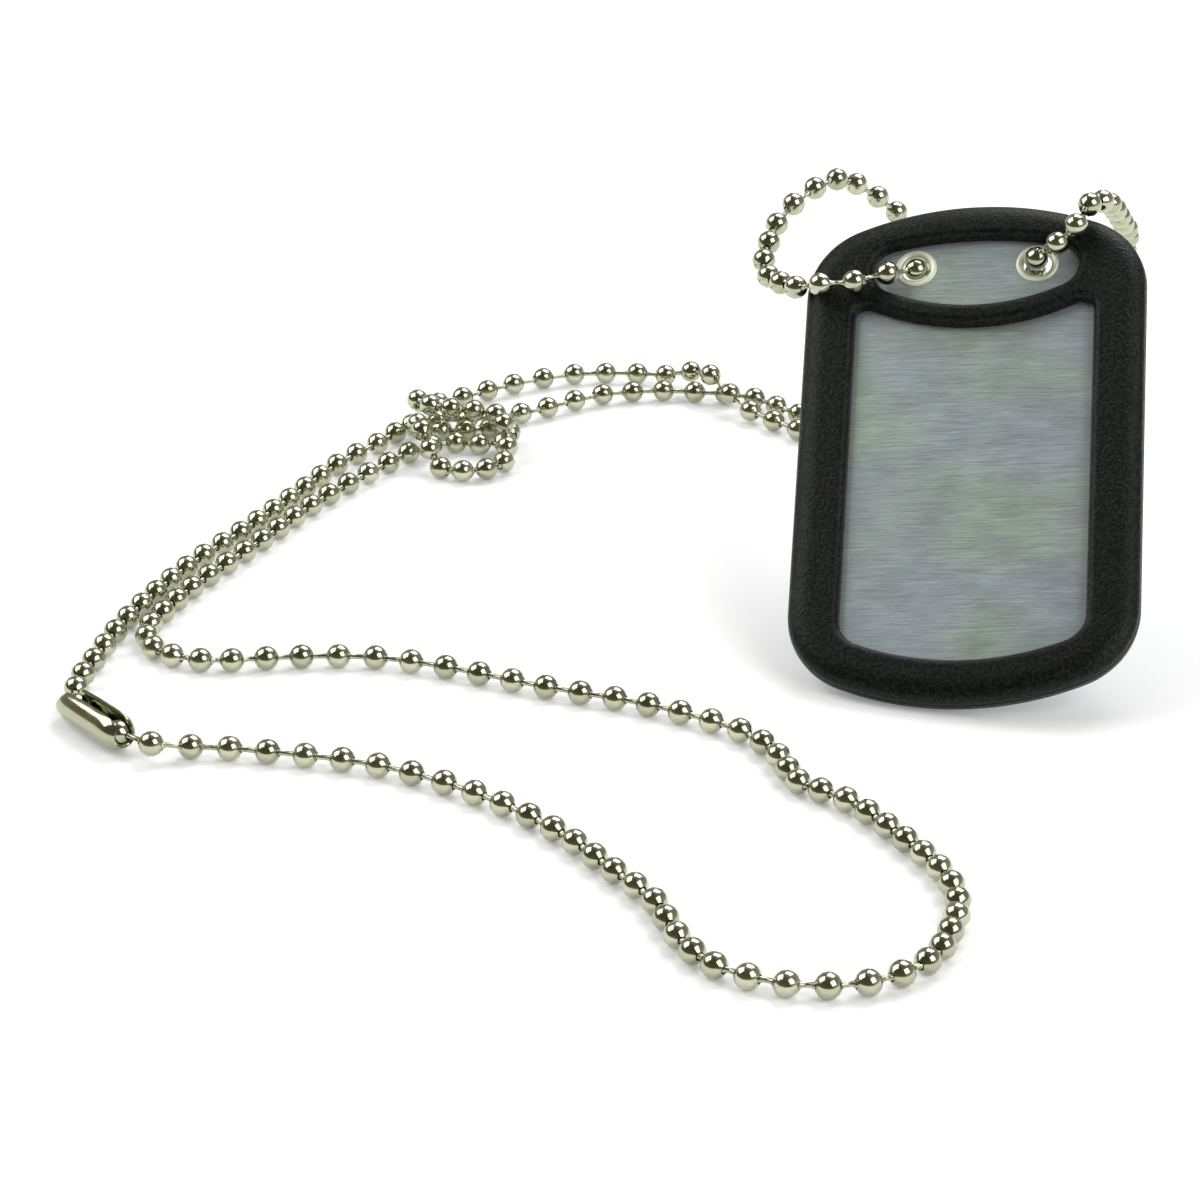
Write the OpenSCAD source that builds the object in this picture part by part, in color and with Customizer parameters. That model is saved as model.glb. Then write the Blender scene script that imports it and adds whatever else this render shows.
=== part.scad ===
// Identification dog tag: a blank plate in a rubber frame on a ball chain, lying on a table.
// Millimetres, +Z up, origin on the table at the middle of the whole thing.

/* [Plate] */
// Width of the plate
plate_w = 29; // [27:0.5:30]
// Length of the plate
plate_l = 49.6; // [48:0.2:50]
// Thickness of the plate
plate_t = 0.6; // [0.4:0.1:0.8]
// Diameter of the two chain holes
hole_d = 2.8; // [2.7:0.05:2.9]
// Distance between the two chain holes
hole_span = 12; // [11.8:0.1:12.2]
// Distance of the holes from the middle of the plate, along its length
hole_up = 20.4; // [20.2:0.1:20.6]

/* [Rubber frame] */
// Width of rubber outside the plate's edge
frame_wall = 2.2; // [1.8:0.1:2.4]
// Thickness of the frame
frame_t = 3.4; // [3.2:0.1:3.6]
// Radius that rounds the outer edges
frame_edge_r = 1.3; // [0.8:0.1:1.5]
// Width of the lip behind the plate, from the outer edge
back_band = 4; // [3.5:0.1:4.2]
// Gap between the rubber and the plate
groove_gap = 0.1; // [0.05:0.05:0.15]

/* [Pose] */
// Slope of the tag above the table, degrees
tag_lean = 40.3; // [39:0.1:42]
// Turn of the tag about the vertical, degrees
tag_turn = -19; // [-20:0.5:-18]
// Roll of the tag in its own plane, degrees
tag_roll = 10.2; // [9:0.1:11]

/* [Chain] */
// Diameter of a ball
ball_d = 2.4; // [2.3:0.05:2.4]
// Diameter of the wire between the balls
wire_d = 0.5; // [0.4:0.05:0.5]
// Diameter of the bore through a ball
bore_d = 0.85; // [0.8:0.05:0.9]

/* [Connector] */
// Length of the clasp shell
clasp_l = 11; // [10.8:0.1:11.2]
// Largest radius of the clasp shell
clasp_r = 1.8; // [1.75:0.05:1.9]
// Thickness of the sheet it is pressed from
clasp_t = 0.3; // [0.25:0.05:0.35]
// Width of the slot that the links run in
clasp_slot = 1.6; // [1.4:0.1:1.8]

/* [Hidden] */

// Puts the middle of the whole thing's box on the origin
home = [0.17, -0.02, 0];

// Outer size of the rubber frame
frame_w = plate_w + 2 * frame_wall;
frame_l = plate_l + 2 * frame_wall;
// Radii of the frame's outline: its bowed ends and its corners
end_r = 31;
corner_r = 8;
// Height of the frame's middle when its lowest edge stands on the table
tag_z = frame_edge_r + (frame_t / 2 - frame_edge_r) * cos(tag_lean)
    + ((end_r - frame_edge_r) - (end_r - frame_l / 2) * cos(tag_roll)) * sin(tag_lean);
tag_middle = [32.6, 4.2, tag_z];

// Middle, radius and edge distances of the window arcs in the rubber face
upper_top = 23.2;
upper_top_r = 40;
upper_bottom = 15.6;
upper_bottom_r = 20.7;
upper_corner_r = 2.6;
lower_half_w = 11.7;
lower_top = 13.4;
lower_top_r = 23.1;
lower_top_corner_r = 1.2;
lower_bottom = -22.7;
lower_bottom_r = 27.4;
lower_bottom_corner_r = 3;
// Rounding of the lips round the windows
lip_r = 0.8;
// Raised bead round each chain hole
bead_w = 0.45;
bead_h = 0.25;
// How far a cutter runs past what it cuts
past = 1;

// Clasp: left end of its middle line, direction along it, slope down to its left end, turn of its
// slot up from the side, its slanted mouth there, and its outline as distance and radius
clasp_start = [-53.15, -15.75, 1.63];
clasp_angle = -52.5;
clasp_slope = 2;
clasp_slot_turn = 85;
mouth_at = 1;
mouth_slant = 53;
clasp_profile = [[0, 1], [0.6, 1.3], [1.4, 1.55], [2.4, 1.7], [3.8, 1.76], [5, clasp_r], [clasp_l - 2.2, clasp_r],
    [clasp_l - 1.2, 1.72], [clasp_l - 0.6, 1.52], [clasp_l - 0.2, 1.3], [clasp_l, 1.12]];

// Arcs are rows of middle x, middle y, radius, first angle and last angle.
// An arc that runs clockwise is hollow, so growing the outline shrinks its radius.
function arc_points(a, grow, steps) = [
    for (i = [0:steps])
        let (t = a[3] + (a[4] - a[3]) * i / steps, r = a[2] + (a[4] > a[3] ? grow : -grow))
            [a[0] + r * cos(t), a[1] + r * sin(t)]
];
function outline(arcs, grow, steps = 9) = [for (a = arcs) each arc_points(a, grow, steps)];

// Rounded oblong with bowed ends
function oblong(w, l, re, rc) =
    let (
        ce = l / 2 - re,
        cx = w / 2 - rc,
        cy = ce + sqrt(pow(re - rc, 2) - cx * cx),
        a = atan2(cy - ce, cx)
    ) [
        [cx, cy, rc, 0, a], [0, ce, re, a, 180 - a], [-cx, cy, rc, 180 - a, 180],
        [-cx, -cy, rc, 180, 180 + a], [0, -ce, re, 180 + a, 360 - a], [cx, -cy, rc, 360 - a, 360]
    ];

// Lens-shaped upper window
upper_window =
    let (
        a = upper_top - upper_top_r,
        b = upper_bottom + upper_bottom_r,
        ra = upper_top_r - upper_corner_r,
        rb = upper_bottom_r - upper_corner_r,
        y = (ra * ra - rb * rb - a * a + b * b) / (2 * (b - a)),
        x = sqrt(ra * ra - pow(y - a, 2)),
        up = atan2(y - a, x),
        down = atan2(y - b, x)
    ) [
        [x, y, upper_corner_r, down, up], [0, a, upper_top_r, up, 180 - up],
        [-x, y, upper_corner_r, 180 - up, 180 - down], [0, b, upper_bottom_r, 180 - down, 360 + down]
    ];

// Lower window, whose top follows the bowed bar
lower_window =
    let (
        rt = lower_top_corner_r,
        tx = lower_half_w - rt,
        tc = lower_top + lower_top_r,
        ty = tc - sqrt(pow(lower_top_r + rt, 2) - tx * tx),
        ta = atan2(tc - ty, -tx),
        rb = lower_bottom_corner_r,
        bx = lower_half_w - rb,
        bc = lower_bottom + lower_bottom_r,
        by = bc - sqrt(pow(lower_bottom_r - rb, 2) - bx * bx),
        ba = atan2(bc - by, bx)
    ) [
        [tx, ty, rt, 0, ta], [0, tc, lower_top_r, ta - 180, -ta], [-tx, ty, rt, 180 - ta, 180],
        [-bx, by, rb, 180, 180 + ba], [0, bc, lower_bottom_r, 180 + ba, 360 - ba], [bx, by, rb, 360 - ba, 360]
    ];

// Closed solid through rings that all have the same number of points
module loft(rings) {
    n = len(rings[0]);
    m = len(rings);
    polyhedron(
        points = [for (r = rings) each r],
        faces = concat(
            [[for (i = [0:n - 1]) i]],
            [[for (i = [n - 1:-1:0]) (m - 1) * n + i]],
            [for (k = [0:m - 2], i = [0:n - 1])
                let (j = (i + 1) % n) each [[k * n + i, (k + 1) * n + i, k * n + j],
                    [k * n + j, (k + 1) * n + i, (k + 1) * n + j]]]
        ),
        convexity = 6
    );
}
function at_height(points, z) = [for (p = points) [p[0], p[1], z]];

// Window cutter: straight through the plate's side of the lip, then rounded out to the face
module window_cutter(arcs, low, face) {
    loft(concat(
        [at_height(outline(arcs, 0), low)],
        [for (a = [0:30:90]) at_height(outline(arcs, lip_r * (1 - cos(a))), face - lip_r + lip_r * sin(a))],
        [at_height(outline(arcs, lip_r), face + past)]
    ));
}

// Puts a child made flat, middle at the origin, into the tag's place
module in_tag_pose() {
    translate(home + tag_middle) rotate([0, 0, tag_turn]) rotate([tag_lean, 0, 0]) rotate([0, 0, tag_roll])
        children();
}
// The same for a point
function turned(p, a) = [p[0] * cos(a) - p[1] * sin(a), p[0] * sin(a) + p[1] * cos(a), p[2]];
function leaned(p, a) = [p[0], p[1] * cos(a) - p[2] * sin(a), p[1] * sin(a) + p[2] * cos(a)];
function on_tag(p) = tag_middle + turned(leaned(turned(p, tag_roll), tag_lean), tag_turn);

// Chain route. Columns: x, y, height of the middle, and how many balls on from the row before.
// From the clasp up the outer strand of the pair to the tangle
low = ball_d / 2;
outer_route = [
    [-51.75, -17.57, 1.71, 0], [-52.2, -13.8, 1.7, 1], [-52, -10.2, 1.4, 1], [-51.4, -6.7, low, 1],
    [-49.2, 2.8, low, 3], [-44.6, 14.7, low, 4], [-39.9, 23.3, low, 3], [-35.5, 31.9, low, 3],
    [-31.1, 41.1, low, 3], [-27.1, 46.9, low, 2]
];
// Through the bottom of the tangle and along the nearer strand to the tag
lower_pair_route = [
    [-25.3, 49.9, low, 1], [-23.6, 52.3, low, 1], [-20.8, 53.4, low, 1], [-17.6, 53.7, low, 1],
    [-14.5, 54.3, low, 1], [-11.7, 55.5, low, 1], [-8.8, 57.2, low, 1], [-2.7, 61.1, low, 2],
    [4.1, 62.2, low, 2], [7.6, 61.8, low, 1], [11, 61.2, low, 1], [14.2, 60, low, 1], [18.9, 55.3, low, 2]
];
// Hidden behind the tag: along the table, then up to its top right corner
rise_right = [
    [22.1, 53.9, low, 1], [29, 54.8, low, 2], [37, 57.8, low, 2.5], [44.5, 59.5, 2.4, 2.3], [49.6, 57, 7, 2.2],
    [51.6, 52.4, 13, 2.3], [52.2, 47.3, 19.4, 2.4], [52, 43, 24.2, 1.9], [51.6, 38.6, 28.2, 1.8],
    [50.2, 33.4, 31.2, 1.8], [48.6, 28, 34.5, 1.9], [47, 23.6, 36.8, 1.6]
];
// On the tag, in its own width, length and thickness: over the rim, in at the right hole,
// behind the plate, out of the left hole and away over the left edge
tag_route = [
    [11.3, 25.3, 2.95, 1.3], [10, 22.9, 3.1, 1], [8.1, 21.4, 2.3, 1], [6, hole_up, 1.25, 1],
    [5.6, hole_up, -1.6, 1], [3.1, hole_up, -3, 1], [0, hole_up, -3.3, 1], [-3.2, hole_up, -2.1, 1],
    [-6, hole_up, 0, 1], [-8.5, 19, 2, 1], [-11.6, 17.6, 3.1, 1], [-15, 17.4, 3.1, 1]
];
// Free loop beside the tag's left edge, and down behind it to the table
rise_left = [
    [16.4, 20.7, 28.9, 1], [13.9, 25.8, 28.2, 2], [13.6, 29.3, 28.8, 1.1], [15.1, 35.2, 30.4, 1.9],
    [16.9, 37.9, 31.6, 1], [19.2, 40.3, 32.5, 1], [21.6, 42.8, 32.6, 1], [23.8, 44.8, 31.4, 1],
    [26.2, 46.5, 29.4, 1], [30.2, 49.2, 24.8, 2], [32.7, 50.8, 18.8, 2], [33.4, 51, 12.1, 2],
    [32, 49.2, 5.6, 2.1], [30.2, 47.8, 3, 0.9], [27.4, 46.8, low, 1], [24.2, 46.7, low, 1], [21.2, 48.2, low, 1]
];
// Farther strand of the pair, from the tag back over the other one to the tangle
upper_pair_route = [
    [18.6, 50.8, low, 1], [13.6, 55.8, 1.4, 2], [11.4, 58.3, 2.4, 1], [9.3, 61.2, 3.5, 1], [7.2, 64.2, 2.7, 1],
    [4.4, 66.4, 1.4, 1], [1.2, 67.4, low, 1], [-5.9, 67.2, low, 2], [-12.7, 64.2, low, 2], [-18.3, 60.2, low, 2]
];
// Tangle: over the top to the right, round the front loop, up and over the inner strand,
// back along the table and out to the left
tangle_route = [
    [-20.9, 58.3, 1.3, 1], [-22.9, 56.4, 2.2, 1], [-23, 54, 3.4, 1], [-21.5, 51.6, 3.8, 1],
    [-19.2, 50.5, 3.8, 1], [-16.7, 50, 3.8, 1], [-14.3, 48.9, 3.8, 1], [-13.4, 46.4, 3.7, 1],
    [-13, 44.5, 1.8, 1], [-13.3, 41.9, low, 1], [-15.1, 39.9, low, 1], [-17.6, 39.3, low, 1],
    [-20, 40.2, low, 1], [-21.2, 42.2, 2.5, 1], [-22.1, 44.4, 3.8, 1], [-22.7, 46.9, 3.5, 1],
    [-22.5, 49.2, 2.1, 1], [-20.3, 50.5, low, 1], [-17.7, 50.6, low, 1], [-15, 51.3, low, 1],
    [-12.8, 50, low, 1], [-13.4, 47.3, low, 1], [-16, 46.7, low, 1], [-18.6, 47.2, low, 1],
    [-21.2, 46.3, low, 1], [-23.6, 44.3, low, 1]
];
// Inner strand of the pair, down to the left turn
inner_route = [
    [-31.8, 32.5, low, 4.2], [-37.7, 21.1, low, 3.9], [-43.6, 9.8, low, 3.9], [-46.7, 1.6, low, 2.9],
    [-46.9, -1.5, low, 1.1]
];
// Out to the right, round the front loop and back to the clasp's other end
front_route = [
    [-46, -4, low, 1], [-44, -5.8, low, 1], [-41.2, -6.8, low, 1], [-38.2, -6.8, low, 1], [-31.6, -6, low, 2],
    [-24.5, -6.2, low, 2], [-17.7, -8.3, low, 2], [-8.1, -12.6, low, 3], [1.5, -16.3, low, 3],
    [9.9, -21.6, low, 3], [13.2, -26.7, low, 2], [14.8, -31.7, low, 2], [18.9, -35.2, low, 2],
    [22.2, -40.1, low, 2], [26.2, -47.7, low, 3], [27.3, -53.3, low, 2], [26.3, -58.5, low, 2],
    [24, -63.5, low, 2], [18.9, -67, low, 2], [12.2, -67.2, low, 2], [6.4, -64.2, low, 2],
    [3.4, -59.2, low, 2], [1.6, -53.5, low, 2], [-1.8, -48.2, low, 2], [-7.1, -40.6, low, 3],
    [-14.2, -33.9, low, 3], [-23.1, -28.6, low, 3], [-33.3, -25.9, low, 3], [-40.4, -24.9, low, 2],
    [-43.9, -25.7, 1.9, 1], [-47.13, -23.6, 1.98, 1]
];
route = concat(outer_route, lower_pair_route, rise_right, [for (p = tag_route) concat(on_tag(p), p[3])],
    rise_left, upper_pair_route, tangle_route, inner_route, front_route);

// Smooth curve through the route's points, with the running number of balls at each
route_end = len(route) - 1;
steps_per_span = 10;
numbers = [for (k = 0, n = route[0][3]; k <= route_end; k = k + 1, n = n + (k <= route_end ? route[k][3] : 0)) n];
function stop(k) = let (i = min(max(k, 0), route_end)) [route[i][0], route[i][1], route[i][2], numbers[i]];
function span_point(a, b, c, d, t) = 0.5 * (2 * b + (c - a) * t + (2 * a - 5 * b + 4 * c - d) * t * t
    + (3 * b - a - 3 * c + d) * t * t * t);
curve = [
    for (k = [0:route_end - 1], s = [0:steps_per_span - 1])
        span_point(stop(k - 1), stop(k), stop(k + 1), stop(k + 2), s / steps_per_span),
    stop(route_end)
];
ball_last = round(numbers[route_end]);
tables = [for (axis = [0:2]) [for (c = curve) [c[3], c[axis]]]];
balls = [
    for (i = [0:ball_last]) [lookup(i, tables[0]), lookup(i, tables[1]), max(lookup(i, tables[2]), low)]
];
function unit(v) = v / norm(v);
function along(i) = unit(balls[min(i + 1, ball_last)] - balls[max(i - 1, 0)]);

// Wire: two rings in each ball, square to its bore
wire_sides = 6;
wire_grip = 0.44 * ball_d;
function ring(p, d) =
    let (side = unit(cross(d, [0.1, 0.2, 1])), up = cross(side, d))
        [for (k = [0:wire_sides - 1]) let (t = 360 * k / wire_sides) p + wire_d / 2 * (cos(t) * side + sin(t) * up)];

module tag_plate() {
    color([0.66, 0.71, 0.75]) in_tag_pose() difference() {
        union() {
            translate([0, 0, -plate_t / 2]) linear_extrude(plate_t)
                polygon(outline(oblong(frame_w, frame_l, end_r, corner_r), -frame_wall));
            for (side = [-1, 1]) translate([side * hole_span / 2, hole_up, 0]) hole_bead();
        }
        for (side = [-1, 1]) translate([side * hole_span / 2, hole_up, -past]) cylinder(h = 2 * past, d = hole_d, $fn = 48);
    }
}

// Rolled bead that rims a chain hole on the front
module hole_bead() {
    cylinder(h = plate_t / 2 + bead_h, r1 = hole_d / 2 + bead_w + 0.1, r2 = hole_d / 2 + 0.15, $fn = 48);
}

module rubber_frame() {
    body = oblong(frame_w, frame_l, end_r, corner_r);
    half = frame_t / 2;
    r = frame_edge_r;
    color([0.07, 0.075, 0.075]) in_tag_pose() difference() {
        loft(concat(
            [for (a = [-90:30:0]) at_height(outline(body, -r * (1 - cos(a))), r - half + r * sin(a))],
            [for (a = [0:30:90]) at_height(outline(body, -r * (1 - cos(a))), half - r + r * sin(a))]
        ));
        translate([0, 0, -plate_t / 2 - groove_gap]) linear_extrude(plate_t + 2 * groove_gap)
            polygon(outline(body, -frame_wall + groove_gap));
        window_cutter(upper_window, 0, half);
        window_cutter(lower_window, 0, half);
        translate([0, 0, -half - past]) linear_extrude(half + past) polygon(outline(body, -back_band));
    }
}

module chain_balls() {
    color([0.72, 0.71, 0.6]) translate(home)
        for (i = [0:ball_last]) translate(balls[i]) drilled_ball(along(i));
}

module drilled_ball(d) {
    rotate([0, acos(d[2]), atan2(d[1], d[0])]) difference() {
        sphere(d = ball_d, $fn = 48);
        cylinder(h = ball_d + past, d = bore_d, center = true, $fn = 24);
    }
}

module chain_wire() {
    color([0.6, 0.59, 0.5]) translate(home) loft([
        for (i = [0:ball_last], side = [-1, 1]) ring(balls[i] + side * wire_grip * along(i), along(i))
    ]);
}

module chain_clasp() {
    inside = [for (i = [len(clasp_profile) - 1:-1:0]) [clasp_profile[i][0], clasp_profile[i][1] - clasp_t]];
    color([0.75, 0.74, 0.64]) translate(home + clasp_start)
        rotate([0, -clasp_slope, clasp_angle]) rotate([clasp_slot_turn, 0, 0]) difference() {
            rotate([0, 90, 0]) rotate_extrude($fn = 48)
                polygon([for (p = concat(clasp_profile, inside)) [p[1], p[0]]]);
            translate([-past, 0, -clasp_slot / 2]) cube([clasp_l + 2 * past, 2 * clasp_r, clasp_slot]);
            translate([mouth_at, 0, 0]) rotate([0, 0, mouth_slant]) translate([-4, 0, -3]) cube([8, 4, 6]);
        }
}

tag_plate();
rubber_frame();
chain_balls();
chain_wire();
chain_clasp();
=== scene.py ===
import math
import bmesh
import bpy
from mathutils import Matrix, Vector
from mathutils.geometry import tessellate_polygon


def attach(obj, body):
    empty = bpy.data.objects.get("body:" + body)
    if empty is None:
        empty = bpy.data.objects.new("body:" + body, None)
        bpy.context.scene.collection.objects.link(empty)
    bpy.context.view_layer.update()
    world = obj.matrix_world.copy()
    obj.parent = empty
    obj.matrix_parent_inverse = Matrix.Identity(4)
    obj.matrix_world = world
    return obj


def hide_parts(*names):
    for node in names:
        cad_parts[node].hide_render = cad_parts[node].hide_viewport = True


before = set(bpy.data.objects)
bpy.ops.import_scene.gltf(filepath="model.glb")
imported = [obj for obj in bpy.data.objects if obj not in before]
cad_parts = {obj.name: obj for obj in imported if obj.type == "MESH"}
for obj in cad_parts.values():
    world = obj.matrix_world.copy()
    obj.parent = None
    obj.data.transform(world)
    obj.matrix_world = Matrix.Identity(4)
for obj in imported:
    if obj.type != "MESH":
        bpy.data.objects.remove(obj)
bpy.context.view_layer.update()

# Camera, table and lights. The tag leans on a white table, with its long chain laid round it,
# and is seen from the front, 25 degrees above the table, under three wide soft boxes.
mm = 0.001
home = Vector((0.17, -0.02, 0)) * mm  # the spot on the table that all places are measured from
camera_above = 25
camera = bpy.data.objects.new("camera", bpy.data.cameras.new("camera"))
camera.location = home + Vector((-3, -339, 162.44)) * mm
camera.rotation_euler = (math.radians(90 - camera_above), 0, 0)
camera.data.lens = 115.8
camera.data.sensor_width = 36
camera.data.clip_start = 0.01
bpy.context.scene.collection.objects.link(camera)
bpy.context.scene.camera = camera
bpy.context.scene.view_settings.view_transform = "Standard"


def new_material(name):
    material = bpy.data.materials.new(name)
    material.use_nodes = True
    tree = material.node_tree
    return material, tree.nodes, tree.links, tree.nodes["Principled BSDF"]


reach = 3
table_mesh = bpy.data.meshes.new("table_top")
table_mesh.from_pydata([(-reach, -reach, 0), (reach, -reach, 0), (reach, reach, 0), (-reach, reach, 0)],
                       [], [(0, 1, 2, 3)])
table = bpy.data.objects.new("table_top", table_mesh)
bpy.context.scene.collection.objects.link(table)
table_white, nodes, links, shader = new_material("table_white")
shader.inputs["Base Color"].default_value = (0.9, 0.9, 0.9, 1)
shader.inputs["Roughness"].default_value = 0.9
shader.inputs["Specular IOR Level"].default_value = 0.1
shader.inputs["Emission Color"].default_value = (0.93, 0.95, 1, 1)
shader.inputs["Emission Strength"].default_value = 0.22
table_mesh.materials.append(table_white)


def soft_box(name, toward, width, height, power):
    """A lit sheet that faces the tag from the given direction, all three at one distance."""
    lamp = bpy.data.lights.new(name, "AREA")
    lamp.shape = "RECTANGLE"
    lamp.size = width
    lamp.size_y = height
    lamp.energy = power
    box = bpy.data.objects.new(name, lamp)
    box.location = Vector(toward).normalized() * lamp_distance
    box.rotation_euler = Vector(toward).to_track_quat("Z", "Y").to_euler()
    bpy.context.scene.collection.objects.link(box)


lamp_distance = 0.9
soft_box("soft_box_left", (-0.68, 0.16, 0.71), 0.65, 0.65, 4.1)
soft_box("soft_box_behind", (0.27, 0.55, 0.78), 0.6, 0.56, 4.3)
soft_box("soft_box_right", (0.59, -0.52, 0.62), 0.58, 0.58, 3.6)


def ramp(nodes, links, value, stops):
    band = nodes.new("ShaderNodeValToRGB")
    while len(band.color_ramp.elements) < len(stops):
        band.color_ramp.elements.new(0.5)
    for element, (position, colour) in zip(band.color_ramp.elements, stops):
        element.position = position
        element.color = (*colour, 1)
    links.new(value, band.inputs["Fac"])
    return band.outputs["Color"]


def multiplied(nodes, links, first, second):
    product = nodes.new("ShaderNodeMix")
    product.data_type = "RGBA"
    product.blend_type = "MULTIPLY"
    product.inputs["Factor"].default_value = 1.0
    links.new(first, product.inputs["A"])
    links.new(second, product.inputs["B"])
    return product.outputs["Result"]


# The room that the metal mirrors: grey walls, pale low down, and dark on the side of the camera
world = bpy.data.worlds.new("studio")
world.use_nodes = True
bpy.context.scene.world = world
nodes, links = world.node_tree.nodes, world.node_tree.links
direction = nodes.new("ShaderNodeTexCoord")
height = nodes.new("ShaderNodeSeparateXYZ")
facing = nodes.new("ShaderNodeVectorMath")
facing.operation = "DOT_PRODUCT"
facing.inputs[1].default_value = (-0.55, -0.8, 0.25)
links.new(direction.outputs["Generated"], height.inputs["Vector"])
links.new(direction.outputs["Generated"], facing.inputs[0])
by_height = ramp(nodes, links, height.outputs["Z"], [
    (0, (0.8, 0.81, 0.8)), (0.1, (0.38, 0.38, 0.36)), (0.6, (0.26, 0.26, 0.25)), (0.85, (0.26, 0.26, 0.26)),
    (1, (0.26, 0.265, 0.27))])
toward_camera = ramp(nodes, links, facing.outputs["Value"], [
    (0, (1, 1, 1)), (0.25, (0.7, 0.58, 0.47)), (0.5, (0.38, 0.32, 0.22)), (1, (0.36, 0.32, 0.23))])
links.new(multiplied(nodes, links, by_height, toward_camera), nodes["Background"].inputs["Color"])
nodes["Background"].inputs["Strength"].default_value = 1.0

# Tag plate: one blank of 0.6 mm sheet with bowed ends, brushed across its width, with two chain
# holes whose edges are rolled into smooth raised beads. It sits in the groove of the rubber frame.
# The tag's middle is just high enough for the frame's lower edge to rest on the table.
tag_middle = Vector((32.6, 4.2, 18.2707)) * mm
tag_turn, tag_lean, tag_roll = -19, 40.3, 10.2
tag_place = (Matrix.Translation(home + tag_middle) @ Matrix.Rotation(math.radians(tag_turn), 4, "Z")
             @ Matrix.Rotation(math.radians(tag_lean), 4, "X")
             @ Matrix.Rotation(math.radians(tag_roll), 4, "Z"))
# Plate and frame share one outline: the plate's edge lies frame_wall inside the frame's.
frame_w, frame_l, end_r, corner_r, frame_wall = 33.4, 54.0, 31.0, 8.0, 2.2
plate_t, hole_r, hole_span, hole_up = 0.6, 1.4, 12.0, 20.4


def oblong(width, length, end, corner):
    """Arcs of an oblong with bowed ends: middle x, y, radius, first and last angle."""
    ce, cx = length / 2 - end, width / 2 - corner
    cy = ce + math.sqrt((end - corner) ** 2 - cx * cx)
    a = math.degrees(math.atan2(cy - ce, cx))
    return [(cx, cy, corner, 0, a), (0, ce, end, a, 180 - a), (-cx, cy, corner, 180 - a, 180),
            (-cx, -cy, corner, 180, 180 + a), (0, -ce, end, 180 + a, 360 - a),
            (cx, -cy, corner, 360 - a, 360)]


def outline(arcs, grow, steps=22):
    """Points along the arcs, set outwards by the given growth."""
    points = []
    for x, y, radius, first, last in arcs:
        r = radius + (grow if last > first else -grow)
        for i in range(steps + 1):
            t = math.radians(first + (last - first) * i / steps)
            points.append((x + r * math.cos(t), y + r * math.sin(t)))
    return points


def ring_of(bm, points, z):
    return [bm.verts.new((x, y, z)) for x, y in points]


def join_rings(bm, rings):
    for a, b in zip(rings, rings[1:]):
        for i in range(len(a)):
            j = (i + 1) % len(a)
            bm.faces.new((a[i], a[j], b[j], b[i]))


def fill(bm, loops):
    """Flat face between an outer loop and the holes in it."""
    all_verts = [v for loop in loops for v in loop]
    for tri in tessellate_polygon([[v.co for v in loop] for loop in loops]):
        bm.faces.new([all_verts[i] for i in tri])


def finish_piece(name, bm, place, material, smooth_angle=40):
    """Turns a shape drawn flat in millimetres into a piece that lies in its place in metres."""
    bmesh.ops.remove_doubles(bm, verts=bm.verts, dist=0.002)
    bmesh.ops.dissolve_degenerate(bm, edges=bm.edges, dist=0.001)
    bmesh.ops.recalc_face_normals(bm, faces=bm.faces)
    bmesh.ops.transform(bm, matrix=place @ Matrix.Scale(mm, 4), verts=bm.verts)
    mesh = bpy.data.meshes.new(name)
    bm.to_mesh(mesh)
    bm.free()
    mesh.polygons.foreach_set("use_smooth", [True] * len(mesh.polygons))
    mesh.set_sharp_from_angle(angle=math.radians(smooth_angle))
    mesh.materials.append(material)
    piece = bpy.data.objects.new(name, mesh)
    bpy.context.scene.collection.objects.link(piece)
    return piece


def in_tag_frame(nodes, links, unit):
    """Object coordinates turned into the tag's own width, length and thickness, in the given units."""
    where = nodes.new("ShaderNodeTexCoord")
    turn = nodes.new("ShaderNodeMapping")
    turn.vector_type = "TEXTURE"
    turn.inputs["Location"].default_value = tag_place.to_translation()
    turn.inputs["Rotation"].default_value = tag_place.to_euler()
    turn.inputs["Scale"].default_value = [v * mm for v in unit]
    links.new(where.outputs["Object"], turn.inputs["Vector"])
    return turn.outputs["Vector"]


def noise(nodes, links, vector, scale, detail=2, roughness=0.5, distortion=0.0):
    grain = nodes.new("ShaderNodeTexNoise")
    grain.inputs["Scale"].default_value = scale
    grain.inputs["Detail"].default_value = detail
    grain.inputs["Roughness"].default_value = roughness
    grain.inputs["Distortion"].default_value = distortion
    links.new(vector, grain.inputs["Vector"])
    return grain.outputs["Fac"]


def spread(nodes, links, value, low, high, from_low=0.3, from_high=0.7):
    span = nodes.new("ShaderNodeMapRange")
    span.inputs["From Min"].default_value = from_low
    span.inputs["From Max"].default_value = from_high
    span.inputs["To Min"].default_value = low
    span.inputs["To Max"].default_value = high
    links.new(value, span.inputs["Value"])
    return span.outputs["Result"]


def bump(nodes, links, height, strength, distance, under=None):
    relief = nodes.new("ShaderNodeBump")
    relief.inputs["Strength"].default_value = strength
    relief.inputs["Distance"].default_value = distance
    links.new(height, relief.inputs["Height"])
    if under is not None:
        links.new(under, relief.inputs["Normal"])
    return relief.outputs["Normal"]


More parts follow.
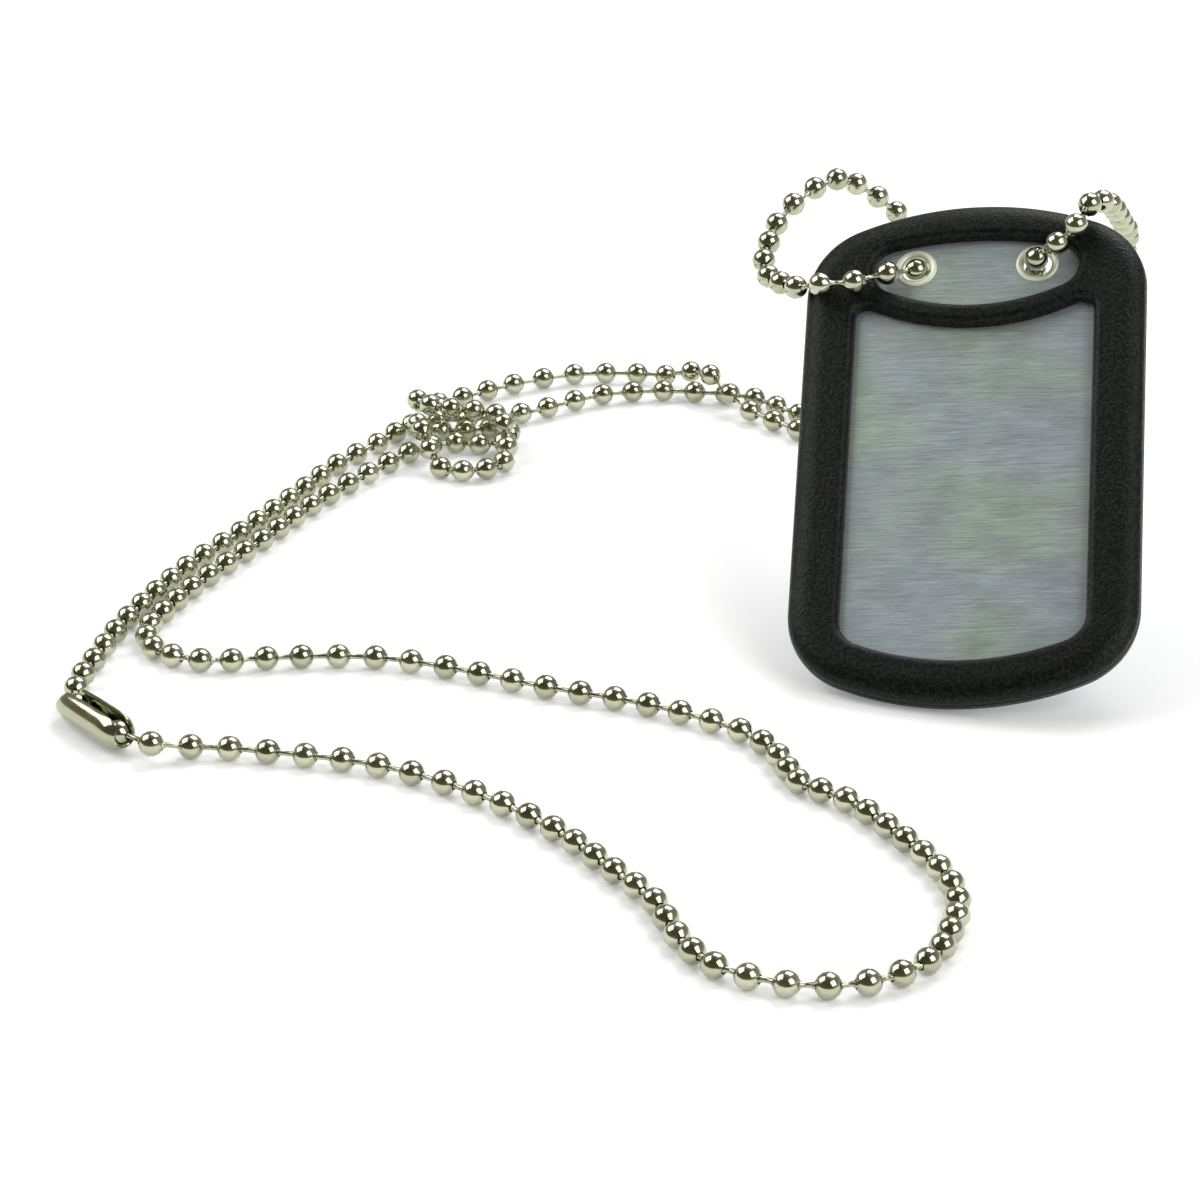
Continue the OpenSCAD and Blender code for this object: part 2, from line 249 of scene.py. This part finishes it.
# Sizes of the marks in mm: along the brushing, across it, and in depth
cloud, patch = (6, 3.5, 5), (13, 10, 5)
long_stroke, fine_stroke, scratch = (6, 0.12, 1), (2.2, 0.06, 1), (4, 0.07, 1)
brushed, nodes, links, shader = new_material("brushed_aluminium")
shader.inputs["Metallic"].default_value = 0.6
mottle = noise(nodes, links, in_tag_frame(nodes, links, cloud), 1.0, 3, 0.6)
patches = noise(nodes, links, in_tag_frame(nodes, links, patch), 1.0, 1, 0.4, 0.5)
long_brush = noise(nodes, links, in_tag_frame(nodes, links, long_stroke), 1.0, 3, 0.65)
fine_brush = noise(nodes, links, in_tag_frame(nodes, links, fine_stroke), 1.0, 3, 0.65)
scratches = noise(nodes, links, in_tag_frame(nodes, links, scratch), 1.0, 1, 0.4)
hue = ramp(nodes, links, patches, [(0.36, (0.43, 0.503, 0.548)), (0.5, (0.439, 0.523, 0.518)),
                                   (0.64, (0.439, 0.543, 0.479))])
clouded = ramp(nodes, links, mottle, [(0.3, (0.86, 0.86, 0.86)), (0.7, (1.12, 1.12, 1.12))])
metal_tone = multiplied(nodes, links, hue, clouded)
for marks in (spread(nodes, links, long_brush, 0.86, 1.08), spread(nodes, links, fine_brush, 0.76, 1.16),
              spread(nodes, links, scratches, 1.0, 0.8, 0.6, 0.74)):
    metal_tone = multiplied(nodes, links, metal_tone, marks)
links.new(metal_tone, shader.inputs["Base Color"])
links.new(spread(nodes, links, fine_brush, 0.28, 0.42), shader.inputs["Roughness"])
links.new(bump(nodes, links, fine_brush, 0.5, 0.00003, bump(nodes, links, long_brush, 0.4, 0.00004)),
          shader.inputs["Normal"])

polished, nodes, links, shader = new_material("polished_bead")
shader.inputs["Metallic"].default_value = 0.65
shader.inputs["Base Color"].default_value = (0.82, 0.86, 0.72, 1)
wear_d = 0.5
wear = noise(nodes, links, in_tag_frame(nodes, links, (wear_d, wear_d, wear_d)), 1.0, 3)
links.new(spread(nodes, links, wear, 0.46, 0.6), shader.inputs["Roughness"])

bm = bmesh.new()
half = plate_t / 2
edge = 0.08
tag_arcs = oblong(frame_w, frame_l, end_r, corner_r)
front = ring_of(bm, outline(tag_arcs, -frame_wall - edge), half)
back = ring_of(bm, outline(tag_arcs, -frame_wall - edge), -half)
join_rings(bm, [front, ring_of(bm, outline(tag_arcs, -frame_wall), half - edge),
                ring_of(bm, outline(tag_arcs, -frame_wall), edge - half), back])
# The bead from its foot on the front, over and through the hole: mm outside the hole's radius, and height
bead_w = 0.7
bead = [(bead_w, 0.3), (0.68, 0.37), (0.63, 0.43), (0.55, 0.47), (0.45, 0.48), (0.34, 0.46), (0.22, 0.41),
        (0.11, 0.34), (0.03, 0.26), (0, 0.16), (0, -0.2), (0.05, -0.27), (0.14, -0.3)]
hole_sides = 40
turns = [2 * math.pi * i / hole_sides for i in range(hole_sides)]
front_holes, back_holes = [], []
for side in (-1, 1):
    hole_x = side * hole_span / 2
    rings = []
    for grow, z in bead:
        r = hole_r + grow
        rings.append(ring_of(bm, [(hole_x + r * math.cos(t), hole_up + r * math.sin(t)) for t in turns], z))
    join_rings(bm, rings)
    for face in bm.faces:
        if all(math.hypot(v.co.x - hole_x, v.co.y - hole_up) < hole_r + bead_w + 0.01 for v in face.verts):
            face.material_index = 1
    front_holes.append(rings[0])
    back_holes.append(rings[-1])
fill(bm, [front] + front_holes)
fill(bm, [back] + back_holes)
plate = finish_piece("tag_plate_brushed", bm, tag_place, brushed)
plate.data.materials.append(polished)
plate.modifiers.new("even_shading", "WEIGHTED_NORMAL").keep_sharp = True
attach(plate, "root")
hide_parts("tag_plate")

# Rubber frame: the black silencer, one moulding stretched over the plate's edge. It has a lens-shaped
# window over the chain holes, a large window below, and a lip behind that holds the plate in.
frame_t, edge_r, shoulder, back_band, groove, lip_r, back_lip_r = 3.4, 1.3, 2.3, 4.0, 0.1, 0.8, 0.35


def upper_window():
    top, top_r, bottom, bottom_r, corner = 23.2, 40.0, 15.6, 20.7, 2.6
    a, b, ra, rb = top - top_r, bottom + bottom_r, top_r - corner, bottom_r - corner
    y = (ra * ra - rb * rb - a * a + b * b) / (2 * (b - a))
    x = math.sqrt(ra * ra - (y - a) ** 2)
    up, down = math.degrees(math.atan2(y - a, x)), math.degrees(math.atan2(y - b, x))
    return [(x, y, corner, down, up), (0, a, top_r, up, 180 - up), (-x, y, corner, 180 - up, 180 - down),
            (0, b, bottom_r, 180 - down, 360 + down)]


def lower_window():
    half_w, top, top_r, rt, bottom, bottom_r, rb = 11.7, 13.4, 23.1, 1.2, -22.7, 27.4, 3.0
    tx, tc = half_w - rt, top + top_r
    ty = tc - math.sqrt((top_r + rt) ** 2 - tx * tx)
    ta = math.degrees(math.atan2(tc - ty, -tx))
    bx, bc = half_w - rb, bottom + bottom_r
    by = bc - math.sqrt((bottom_r - rb) ** 2 - bx * bx)
    ba = math.degrees(math.atan2(bc - by, bx))
    return [(tx, ty, rt, 0, ta), (0, tc, top_r, ta - 180, -ta), (-tx, ty, rt, 180 - ta, 180),
            (-bx, by, rb, 180, 180 + ba), (0, bc, bottom_r, 180 + ba, 360 - ba),
            (bx, by, rb, 360 - ba, 360)]


rubber, nodes, links, shader = new_material("black_rubber")
shader.inputs["Specular IOR Level"].default_value = 0.2
shader.inputs["Specular Tint"].default_value = (0.9, 1, 0.9, 1)
pebble_d, grain_d = 0.33, 0.14
pebble = noise(nodes, links, in_tag_frame(nodes, links, (pebble_d, pebble_d, pebble_d)), 1.0, 3, 0.6)
fine = noise(nodes, links, in_tag_frame(nodes, links, (grain_d, grain_d, grain_d)), 1.0, 2, 0.5)
links.new(ramp(nodes, links, pebble, [(0.47, (0.0002, 0.0004, 0.0002)), (0.6, (0.011, 0.0145, 0.011))]),
          shader.inputs["Base Color"])
links.new(spread(nodes, links, pebble, 0.4, 0.24), shader.inputs["Roughness"])
links.new(bump(nodes, links, fine, 0.8, 0.00004, bump(nodes, links, pebble, 0.9, 0.00011)),
          shader.inputs["Normal"])

bm = bmesh.new()
half = frame_t / 2
seat = plate_t / 2 + groove
quarter = [math.radians(9 * i) for i in range(11)]
parting_ridge = [(0, -0.1), (0.05, -0.03), (0.05, 0.03), (0, 0.1)]
outer = [ring_of(bm, outline(tag_arcs, -edge_r * (1 - math.cos(a))), edge_r - half - edge_r * math.sin(a))
         for a in reversed(quarter)]
outer += [ring_of(bm, outline(tag_arcs, grow), z) for grow, z in parting_ridge]
outer += [ring_of(bm, outline(tag_arcs, -shoulder * (1 - math.cos(a))), half - edge_r * (1 - math.sin(a)))
          for a in quarter]
inner = [ring_of(bm, outline(tag_arcs, -back_band + back_lip_r * (1 - math.sin(a))),
                 -half + back_lip_r * (1 - math.cos(a))) for a in quarter[::2]]
inner += [ring_of(bm, outline(tag_arcs, -back_band), -seat),
          ring_of(bm, outline(tag_arcs, groove - frame_wall), -seat),
          ring_of(bm, outline(tag_arcs, groove - frame_wall), seat)]
join_rings(bm, [outer[0]] + inner)
join_rings(bm, outer)
windows_low, windows_face = [], []
for arcs in (upper_window(), lower_window()):
    rings = [ring_of(bm, outline(arcs, 0), seat)]
    rings += [ring_of(bm, outline(arcs, lip_r * (1 - math.cos(a))), half - lip_r + lip_r * math.sin(a))
              for a in quarter]
    join_rings(bm, rings)
    windows_low.append(rings[0])
    windows_face.append(rings[-1])
fill(bm, [outer[-1]] + windows_face)
fill(bm, [inner[-1]] + windows_low)
rubber_piece = finish_piece("rubber_silencer", bm, tag_place, rubber, 50)
rubber_piece.modifiers.new("even_shading", "WEIGHTED_NORMAL").keep_sharp = True
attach(rubber_piece, "root")
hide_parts("rubber_frame")

# Ball chain: hollow balls pressed from thin nickelled strip, each with an opening at both ends for
# the links. They follow the way that the chain is laid, up to the tag, through its holes and back.
ball_d, bore_d = 2.4, 0.85
low = ball_d / 2


def on_tag(u, v, n, balls_on):
    x, y, z = (tag_place @ (Vector((u, v, n)) * mm) - home) / mm
    return (x, y, z, balls_on)


# Columns: x, y, height of the ball's middle, and how many balls on from the row before.
outer_route = [
    (-51.75, -17.57, 1.71, 0), (-52.2, -13.8, 1.7, 1), (-52, -10.2, 1.4, 1), (-51.4, -6.7, low, 1),
    (-49.2, 2.8, low, 3), (-44.6, 14.7, low, 4), (-39.9, 23.3, low, 3), (-35.5, 31.9, low, 3),
    (-31.1, 41.1, low, 3), (-27.1, 46.9, low, 2)]
lower_pair_route = [
    (-25.3, 49.9, low, 1), (-23.6, 52.3, low, 1), (-20.8, 53.4, low, 1), (-17.6, 53.7, low, 1),
    (-14.5, 54.3, low, 1), (-11.7, 55.5, low, 1), (-8.8, 57.2, low, 1), (-2.7, 61.1, low, 2),
    (4.1, 62.2, low, 2), (7.6, 61.8, low, 1), (11, 61.2, low, 1), (14.2, 60, low, 1), (18.9, 55.3, low, 2)]
rise_right = [
    (22.1, 53.9, low, 1), (29, 54.8, low, 2), (37, 57.8, low, 2.5), (44.5, 59.5, 2.4, 2.3),
    (49.6, 57, 7, 2.2), (51.6, 52.4, 13, 2.3), (52.2, 47.3, 19.4, 2.4), (52, 43, 24.2, 1.9),
    (51.6, 38.6, 28.2, 1.8), (50.2, 33.4, 31.2, 1.8), (48.6, 28, 34.5, 1.9), (47, 23.6, 36.8, 1.6)]
tag_route = [
    on_tag(11.3, 25.3, 2.95, 1.3), on_tag(10, 22.9, 3.1, 1), on_tag(8.1, 21.4, 2.3, 1),
    on_tag(6, hole_up, 1.25, 1), on_tag(5.6, hole_up, -1.6, 1), on_tag(3.1, hole_up, -3, 1),
    on_tag(0, hole_up, -3.3, 1), on_tag(-3.2, hole_up, -2.1, 1), on_tag(-6, hole_up, 0, 1),
    on_tag(-8.5, 19, 2, 1), on_tag(-11.6, 17.6, 3.1, 1), on_tag(-15, 17.4, 3.1, 1)]
rise_left = [
    (16.4, 20.7, 28.9, 1), (13.9, 25.8, 28.2, 2), (13.6, 29.3, 28.8, 1.1), (15.1, 35.2, 30.4, 1.9),
    (16.9, 37.9, 31.6, 1), (19.2, 40.3, 32.5, 1), (21.6, 42.8, 32.6, 1), (23.8, 44.8, 31.4, 1),
    (26.2, 46.5, 29.4, 1), (30.2, 49.2, 24.8, 2), (32.7, 50.8, 18.8, 2), (33.4, 51, 12.1, 2),
    (32, 49.2, 5.6, 2.1), (30.2, 47.8, 3, 0.9), (27.4, 46.8, low, 1), (24.2, 46.7, low, 1),
    (21.2, 48.2, low, 1)]
upper_pair_route = [
    (18.6, 50.8, low, 1), (13.6, 55.8, 1.4, 2), (11.4, 58.3, 2.4, 1), (9.3, 61.2, 3.5, 1),
    (7.2, 64.2, 2.7, 1), (4.4, 66.4, 1.4, 1), (1.2, 67.4, low, 1), (-5.9, 67.2, low, 2),
    (-12.7, 64.2, low, 2), (-18.3, 60.2, low, 2)]
tangle_route = [
    (-20.9, 58.3, 1.3, 1), (-22.9, 56.4, 2.2, 1), (-23, 54, 3.4, 1), (-21.5, 51.6, 3.8, 1),
    (-19.2, 50.5, 3.8, 1), (-16.7, 50, 3.8, 1), (-14.3, 48.9, 3.8, 1), (-13.4, 46.4, 3.7, 1),
    (-13, 44.5, 1.8, 1), (-13.3, 41.9, low, 1), (-15.1, 39.9, low, 1), (-17.6, 39.3, low, 1),
    (-20, 40.2, low, 1), (-21.2, 42.2, 2.5, 1), (-22.1, 44.4, 3.8, 1), (-22.7, 46.9, 3.5, 1),
    (-22.5, 49.2, 2.1, 1), (-20.3, 50.5, low, 1), (-17.7, 50.6, low, 1), (-15, 51.3, low, 1),
    (-12.8, 50, low, 1), (-13.4, 47.3, low, 1), (-16, 46.7, low, 1), (-18.6, 47.2, low, 1),
    (-21.2, 46.3, low, 1), (-23.6, 44.3, low, 1)]
inner_route = [
    (-31.8, 32.5, low, 4.2), (-37.7, 21.1, low, 3.9), (-43.6, 9.8, low, 3.9), (-46.7, 1.6, low, 2.9),
    (-46.9, -1.5, low, 1.1)]
front_route = [
    (-46, -4, low, 1), (-44, -5.8, low, 1), (-41.2, -6.8, low, 1), (-38.2, -6.8, low, 1),
    (-31.6, -6, low, 2), (-24.5, -6.2, low, 2), (-17.7, -8.3, low, 2), (-8.1, -12.6, low, 3),
    (1.5, -16.3, low, 3), (9.9, -21.6, low, 3), (13.2, -26.7, low, 2), (14.8, -31.7, low, 2),
    (18.9, -35.2, low, 2), (22.2, -40.1, low, 2), (26.2, -47.7, low, 3), (27.3, -53.3, low, 2),
    (26.3, -58.5, low, 2), (24, -63.5, low, 2), (18.9, -67, low, 2), (12.2, -67.2, low, 2),
    (6.4, -64.2, low, 2), (3.4, -59.2, low, 2), (1.6, -53.5, low, 2), (-1.8, -48.2, low, 2),
    (-7.1, -40.6, low, 3), (-14.2, -33.9, low, 3), (-23.1, -28.6, low, 3), (-33.3, -25.9, low, 3),
    (-40.4, -24.9, low, 2), (-43.9, -25.7, 1.9, 1), (-47.13, -23.6, 1.98, 1)]
route = (outer_route + lower_pair_route + rise_right + tag_route + rise_left + upper_pair_route
         + tangle_route + inner_route + front_route)
stops, count = [], 0
for x, y, z, balls_on in route:
    count += balls_on
    stops.append(Vector((x, y, z, count)))

# A smooth curve through the stops carries the count along, and each whole count is a ball
curve = []
for k in range(len(stops) - 1):
    a, b, c, d = (stops[min(max(k + i, 0), len(stops) - 1)] for i in (-1, 0, 1, 2))
    for t in (i / 10 for i in range(10)):
        curve.append(0.5 * (2 * b + (c - a) * t + (2 * a - 5 * b + 4 * c - d) * t ** 2
                            + (3 * b - a - 3 * c + d) * t ** 3))
curve.append(stops[-1])
balls = []
k = 0
for number in range(round(count) + 1):
    while k < len(curve) - 2 and curve[k + 1].w < number:
        k += 1
    p = curve[k].lerp(curve[k + 1], (number - curve[k].w) / (curve[k + 1].w - curve[k].w))
    balls.append(Vector((p.x, p.y, max(p.z, low))) * mm + home)
last = len(balls) - 1
bores = [(balls[min(i + 1, last)] - balls[max(i - 1, 0)]).normalized() for i in range(last + 1)]

nickel, nodes, links, shader = new_material("warm_nickel")
shader.inputs["Metallic"].default_value = 1.0
own_tone = nodes.new("ShaderNodeAttribute")
own_tone.attribute_name = "ball_tone"
links.new(ramp(nodes, links, own_tone.outputs["Fac"], [(0, (0.42, 0.44, 0.31)), (1, (0.56, 0.575, 0.425))]),
          shader.inputs["Base Color"])
where = nodes.new("ShaderNodeTexCoord")
spots_a_metre = 900
tarnish = noise(nodes, links, where.outputs["Object"], spots_a_metre, 3)
links.new(spread(nodes, links, tarnish, 0.07, 0.19), shader.inputs["Roughness"])
links.new(bump(nodes, links, tarnish, 0.12, 0.00003), shader.inputs["Normal"])

# One ball of unit size, its bore along z: bands from opening to opening, and the bore through it
form = bmesh.new()
sides, bands = 12, 6
opening = math.asin(bore_d / ball_d)
turns = [2 * math.pi * i / sides for i in range(sides)]
ball_rings = []
for k in range(bands + 1):
    a = opening + (math.pi - 2 * opening) * k / bands
    r = 0.5 * math.sin(a)
    ball_rings.append(ring_of(form, [(r * math.cos(t), r * math.sin(t)) for t in turns], 0.5 * math.cos(a)))
join_rings(form, ball_rings + [ball_rings[0]])
bmesh.ops.recalc_face_normals(form, faces=form.faces)
ball_mesh = bpy.data.meshes.new("ball_form")
form.to_mesh(ball_mesh)
form.free()
ball_mesh.polygons.foreach_set("use_smooth", [True] * len(ball_mesh.polygons))
ball_mesh.set_sharp_from_angle(angle=math.radians(50))
ball_form = bpy.data.objects.new("ball_form", ball_mesh)
bpy.context.scene.collection.objects.link(ball_form)


def new_tree(name, inputs):
    """A Geometry Nodes tree with a geometry in and out, and the named inputs that size it."""
    tree = bpy.data.node_groups.new(name, "GeometryNodeTree")
    tree.interface.new_socket("Geometry", in_out="INPUT", socket_type="NodeSocketGeometry")
    for label, kind in inputs:
        tree.interface.new_socket(label, in_out="INPUT", socket_type=kind)
    tree.interface.new_socket("Geometry", in_out="OUTPUT", socket_type="NodeSocketGeometry")
    return tree, tree.nodes.new("NodeGroupInput"), tree.nodes.new("NodeGroupOutput")


def grow_piece(name, guide, tree, values):
    """Runs a tree on a guide mesh and keeps what it makes as a plain mesh."""
    modifier = guide.modifiers.new("grow", "NODES")
    modifier.node_group = tree
    for item in tree.interface.items_tree:
        if item.in_out == "INPUT" and item.name in values:
            modifier[item.identifier] = values[item.name]
    bpy.context.view_layer.update()
    seen = bpy.context.evaluated_depsgraph_get()
    mesh = bpy.data.meshes.new_from_object(guide.evaluated_get(seen), preserve_all_data_layers=True,
                                           depsgraph=seen)
    guide.modifiers.remove(modifier)
    bpy.data.objects.remove(guide)
    piece = bpy.data.objects.new(name, mesh)
    bpy.context.scene.collection.objects.link(piece)
    return piece


guide_mesh = bpy.data.meshes.new("chain_guide")
guide_mesh.from_pydata(balls, [], [])
bore_kept = guide_mesh.attributes.new("bore", "FLOAT_VECTOR", "POINT")
bore_kept.data.foreach_set("vector", [c for bore in bores for c in bore])
chain_guide = bpy.data.objects.new("chain_guide", guide_mesh)
bpy.context.scene.collection.objects.link(chain_guide)

tree, group_in, group_out = new_tree("string_of_balls", [
    ("Ball", "NodeSocketObject"), ("Ball diameter", "NodeSocketFloat"), ("Seed", "NodeSocketInt"),
    ("Finish", "NodeSocketMaterial")])
nodes, links = tree.nodes, tree.links
ball_in = nodes.new("GeometryNodeObjectInfo")
bore_in = nodes.new("GeometryNodeInputNamedAttribute")
bore_in.data_type = "FLOAT_VECTOR"
bore_in.inputs["Name"].default_value = "bore"
aim = nodes.new("FunctionNodeAlignRotationToVector")
aim.axis = "Z"
place_balls = nodes.new("GeometryNodeInstanceOnPoints")
chance = nodes.new("FunctionNodeRandomValue")
chance.data_type = "FLOAT"
keep_tone = nodes.new("GeometryNodeStoreNamedAttribute")
keep_tone.data_type = "FLOAT"
keep_tone.domain = "INSTANCE"
keep_tone.inputs["Name"].default_value = "ball_tone"
real = nodes.new("GeometryNodeRealizeInstances")
finish = nodes.new("GeometryNodeSetMaterial")
links.new(group_in.outputs["Ball"], ball_in.inputs["Object"])
links.new(group_in.outputs["Geometry"], place_balls.inputs["Points"])
links.new(ball_in.outputs["Geometry"], place_balls.inputs["Instance"])
links.new(bore_in.outputs["Attribute"], aim.inputs["Vector"])
links.new(aim.outputs["Rotation"], place_balls.inputs["Rotation"])
links.new(group_in.outputs["Ball diameter"], place_balls.inputs["Scale"])
links.new(group_in.outputs["Seed"], chance.inputs["Seed"])
links.new(place_balls.outputs["Instances"], keep_tone.inputs["Geometry"])
links.new([s for s in chance.outputs if s.type == "VALUE"][0], keep_tone.inputs["Value"])
links.new(keep_tone.outputs["Geometry"], real.inputs["Geometry"])
links.new(real.outputs["Geometry"], finish.inputs["Geometry"])
links.new(group_in.outputs["Finish"], finish.inputs["Material"])
links.new(finish.outputs["Geometry"], group_out.inputs["Geometry"])
chain = grow_piece("ball_chain", chain_guide, tree,
                   {"Ball": ball_form, "Ball diameter": ball_d * mm, "Seed": 7, "Finish": nickel})
bpy.data.objects.remove(ball_form)
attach(chain, "root")
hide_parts("chain_balls")

# Links: short pieces of drawn wire that run from inside one ball into the next, with their headed
# ends caught behind the openings. They are duller than the balls, with fine marks of the drawing.
wire_d, head = 0.5, 1.35
inside, mouth, outside = 0.3 * ball_d * mm, 0.44 * ball_d * mm, 0.56 * ball_d * mm
link_metal, nodes, links, shader = new_material("drawn_wire")
shader.inputs["Metallic"].default_value = 1.0
where = nodes.new("ShaderNodeTexCoord")
marks_a_metre = 2500
draw_marks = noise(nodes, links, where.outputs["Object"], marks_a_metre, 2)
links.new(ramp(nodes, links, draw_marks, [(0.35, (0.4, 0.4, 0.29)), (0.65, (0.54, 0.54, 0.41))]),
          shader.inputs["Base Color"])
links.new(spread(nodes, links, draw_marks, 0.2, 0.34), shader.inputs["Roughness"])

points, edges, widths = [], [], []
for i in range(last):
    a, b = balls[i], balls[i + 1]
    start = len(points)
    ahead = (b - a).normalized()
    points += [a + bores[i] * inside, a + bores[i] * mouth, a + ahead * outside,
               b - ahead * outside, b - bores[i + 1] * mouth, b - bores[i + 1] * inside]
    widths += [head, head, 1, 1, head, head]
    edges += [(start + k, start + k + 1) for k in range(5)]
guide_mesh = bpy.data.meshes.new("link_guide")
guide_mesh.from_pydata(points, edges, [])
guide_mesh.attributes.new("thickness", "FLOAT", "POINT").data.foreach_set("value", widths)
link_guide = bpy.data.objects.new("link_guide", guide_mesh)
bpy.context.scene.collection.objects.link(link_guide)

tree, group_in, group_out = new_tree("wire_links", [
    ("Wire diameter", "NodeSocketFloat"), ("Sides", "NodeSocketInt"), ("Finish", "NodeSocketMaterial")])
nodes, links = tree.nodes, tree.links
to_curve = nodes.new("GeometryNodeMeshToCurve")
thick_in = nodes.new("GeometryNodeInputNamedAttribute")
thick_in.data_type = "FLOAT"
thick_in.inputs["Name"].default_value = "thickness"
half_width = nodes.new("ShaderNodeMath")
half_width.operation = "MULTIPLY"
half_width.inputs[1].default_value = 0.5
section = nodes.new("GeometryNodeCurvePrimitiveCircle")
swept = nodes.new("GeometryNodeCurveToMesh")
swept.inputs["Fill Caps"].default_value = True
finish = nodes.new("GeometryNodeSetMaterial")
links.new(group_in.outputs["Geometry"], to_curve.inputs["Mesh"])
links.new(group_in.outputs["Wire diameter"], half_width.inputs[0])
links.new(half_width.outputs[0], section.inputs["Radius"])
links.new(group_in.outputs["Sides"], section.inputs["Resolution"])
links.new(to_curve.outputs["Curve"], swept.inputs["Curve"])
links.new(section.outputs["Curve"], swept.inputs["Profile Curve"])
links.new(thick_in.outputs["Attribute"], swept.inputs["Scale"])
links.new(swept.outputs["Mesh"], finish.inputs["Geometry"])
links.new(group_in.outputs["Finish"], finish.inputs["Material"])
links.new(finish.outputs["Geometry"], group_out.inputs["Geometry"])
wire = grow_piece("chain_links", link_guide, tree,
                  {"Wire diameter": wire_d * mm, "Sides": 8, "Finish": link_metal})
wire.data.polygons.foreach_set("use_smooth", [True] * len(wire.data.polygons))
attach(wire, "root")
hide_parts("chain_wire")

# Clasp: a coupling folded from one piece of thin nickelled sheet. Its slot lets the links snap in and
# its ends are drawn in to hold the last ball of each end of the chain; one end is cut off aslant.
clasp_l, clasp_t, slot_half, mouth_at, mouth_slope = 11.0, 0.3, 0.8, 1.0, 0.7536
clasp_turn, clasp_dip, slot_turn = -52.5, -2, 85
clasp_place = (Matrix.Translation(home + Vector((-53.15, -15.75, 1.63)) * mm)
               @ Matrix.Rotation(math.radians(clasp_turn), 4, "Z")
               @ Matrix.Rotation(math.radians(clasp_dip), 4, "Y")
               @ Matrix.Rotation(math.radians(slot_turn), 4, "X"))
clasp_outline = [(0, 1), (0.3, 1.16), (0.6, 1.3), (1, 1.44), (1.4, 1.55), (1.9, 1.64), (2.4, 1.7),
                 (3.1, 1.74), (3.8, 1.77), (5, 1.8), (7, 1.8), (8.8, 1.8), (9.3, 1.77), (9.8, 1.7),
                 (10.15, 1.61), (10.4, 1.5), (10.6, 1.4), (10.8, 1.27), (10.92, 1.18), (11, 1.12)]


def clasp_radius(along):
    for (a, ra), (b, rb) in zip(clasp_outline, clasp_outline[1:]):
        if along <= b:
            return ra + (rb - ra) * (along - a) / (b - a)
    return clasp_outline[-1][1]


def round_shell(along, share):
    """Radius and angle of a spot on the shell, at a share of the way round from one lip of the slot."""
    radius = clasp_radius(along)
    cut = math.asin(slot_half / radius)
    return radius, cut + (2 * math.pi - 2 * cut) * share


# Lines along the sheet, from the aslant mouth to the far end, each at its own angle round the shell.
# Where a line starts depends on its angle, and the angle on the start, so both are found in rounds.
bm = bmesh.new()
around, stations, rounds = 44, 34, 12
lines = []
for i in range(around + 1):
    share = i / around
    starts_at = 0
    for again in range(rounds):
        radius, t = round_shell(starts_at, share)
        starts_at = 0.5 * starts_at + 0.5 * max(0, mouth_at + mouth_slope * radius * math.cos(t))
    line = []
    for k in range(stations + 1):
        along = starts_at + (clasp_l - starts_at) * (0.5 - 0.5 * math.cos(math.pi * k / stations))
        radius, t = round_shell(along, share)
        line.append(bm.verts.new((along, radius * math.cos(t), radius * math.sin(t))))
    lines.append(line)
for a, b in zip(lines, lines[1:]):
    for k in range(stations):
        bm.faces.new((a[k], a[k + 1], b[k + 1], b[k]))
clasp = finish_piece("folded_clasp", bm, clasp_place, nickel, 60)
wall = clasp.modifiers.new("sheet", "SOLIDIFY")
wall.thickness = clasp_t * mm
wall.offset = -1
wall.use_rim = True
rim = clasp.modifiers.new("rolled_edge", "BEVEL")
rim.width = 0.08 * mm
rim.segments = 2
rim.limit_method = "ANGLE"
rim.angle_limit = math.radians(50)
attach(clasp, "root")
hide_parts("chain_clasp")
